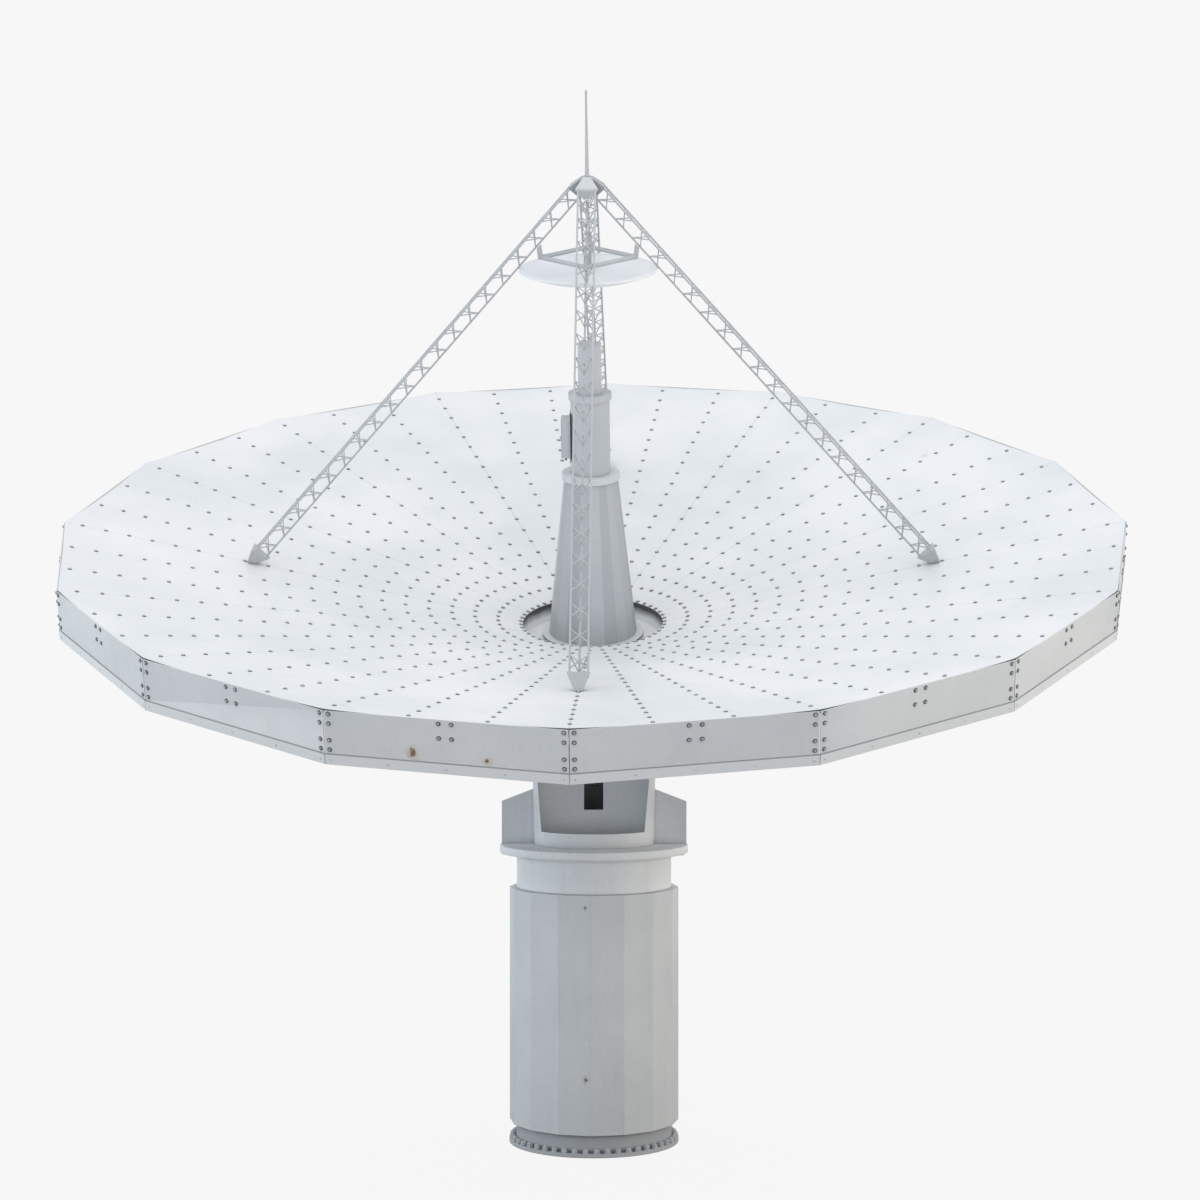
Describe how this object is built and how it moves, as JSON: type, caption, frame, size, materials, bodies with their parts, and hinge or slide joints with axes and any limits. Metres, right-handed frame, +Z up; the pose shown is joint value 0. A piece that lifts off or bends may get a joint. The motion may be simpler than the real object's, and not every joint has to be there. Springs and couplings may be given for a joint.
{
  "type": "dish antenna on pedestal",
  "caption": "Cassegrain dish antenna on a round pedestal: conical bolted reflector, faceted rim, central feed, subreflector on lattice legs; turns in azimuth and elevation.",
  "frame": {"origin": "centre of the base flange's underside, on the azimuth axis", "axes": "+Z up along the azimuth axis, X along the elevation axis, -Y the side that the dish leans towards"},
  "size_m": [9.011, 8.5997, 8.7599],
  "materials": {
    "reflector_paint": "matt white paint on aluminium sheet",
    "rim_paint": "pale grey paint on aluminium sheet, weathered",
    "pedestal_paint": "pale grey semi-matt paint on welded steel",
    "feed_paint": "pale grey paint on rolled aluminium",
    "truss_paint": "pale grey paint on aluminium tube",
    "bare_steel": "machined steel",
    "gear_iron": "greased gear iron",
    "motor_paint": "dark grey enamel"
  },
  "bodies": {
    "base": {"base_flange": "pedestal_paint", "anchor_nuts": "bare_steel", "pedestal_shaft": "pedestal_paint", "top_collar": "pedestal_paint", "slewing_ring": "gear_iron"},
    "hatch": {"access_hatch": "pedestal_paint"},
    "turret": {"platform": "pedestal_paint", "turret_drum": "pedestal_paint", "slot_plate": "pedestal_paint", "bearing_block_left": "bare_steel", "bearing_block_right": "bare_steel", "azimuth_gearmotor": "motor_paint", "elevation_gearmotor": "motor_paint"},
    "azimuth_pinion": {"azimuth_pinion": "bare_steel"},
    "elevation_pinion": {"elevation_pinion": "bare_steel"},
    "dish": {"trunnion_shaft": "bare_steel", "elevation_yoke": "pedestal_paint", "sector_gear": "gear_iron", "hub_cup": "reflector_paint", "reflector_panel_1": "reflector_paint", "reflector_panel_2": "reflector_paint", "reflector_panel_3": "reflector_paint", "reflector_panel_4": "reflector_paint", "reflector_panel_5": "reflector_paint", "reflector_panel_6": "reflector_paint", "reflector_panel_7": "reflector_paint", "reflector_panel_8": "reflector_paint", "rim_plate_01": "rim_paint", "rim_plate_02": "rim_paint", "rim_plate_03": "rim_paint", "rim_plate_04": "rim_paint", "rim_plate_05": "rim_paint", "rim_plate_06": "rim_paint", "rim_plate_07": "rim_paint", "rim_plate_08": "rim_paint", "rim_plate_09": "rim_paint", "rim_plate_10": "rim_paint", "rim_plate_11": "rim_paint", "rim_plate_12": "rim_paint", "rim_plate_13": "rim_paint", "rim_plate_14": "rim_paint", "rim_plate_15": "rim_paint", "rim_plate_16": "rim_paint", "feed_cone": "feed_paint", "feed_tube": "feed_paint", "feed_horn": "feed_paint", "equipment_box": "feed_paint", "leg_front": "truss_paint", "leg_right": "truss_paint", "leg_back": "truss_paint", "leg_left": "truss_paint", "main_rib_front": "rim_paint", "main_rib_right": "rim_paint", "main_rib_back": "rim_paint", "main_rib_left": "rim_paint", "apex_bracket": "truss_paint", "lightning_spike": "truss_paint", "subreflector": "reflector_paint", "subreflector_frame": "truss_paint"},
    "box_door": {"box_door": "feed_paint"}
  },
  "joints": [
    {"name": "azimuth", "type": "hinge", "parent": "base", "child": "turret", "pos_m": [0, 0, 2.506], "axis": [0, 0, 1], "range_deg": [-175, 175]},
    {"name": "elevation", "type": "hinge", "parent": "turret", "child": "dish", "pos_m": [0, 0, 3.741], "axis": [1, 0, 0], "range_deg": [-20, 40]},
    {"name": "azimuth_pinion_spin", "type": "hinge", "parent": "turret", "child": "azimuth_pinion", "pos_m": [-0.2885, 0.2885, 2.47], "axis": [0, 0, 1], "range_deg": [-570, 570]},
    {"name": "elevation_pinion_spin", "type": "hinge", "parent": "turret", "child": "elevation_pinion", "pos_m": [0, 0.3491, 3.17383], "axis": [1, 0, 0], "range_deg": [-210, 106]},
    {"name": "hatch_hinge", "type": "hinge", "parent": "base", "child": "hatch", "pos_m": [-0.04393, 0.73344, 0.81], "axis": [0, 0, -1], "range_deg": [0, 110]},
    {"name": "box_door_hinge", "type": "hinge", "parent": "dish", "child": "box_door", "pos_m": [-0.2425, -0.76825, 6.08564], "axis": [0, 0.342, -0.9397], "range_deg": [0, 110]}
  ],
  "couplings": [
    {"joint": "azimuth_pinion_spin", "follows": "azimuth", "ratio": 3.25},
    {"joint": "elevation_pinion_spin", "follows": "elevation", "ratio": -5.1667}
  ]
}
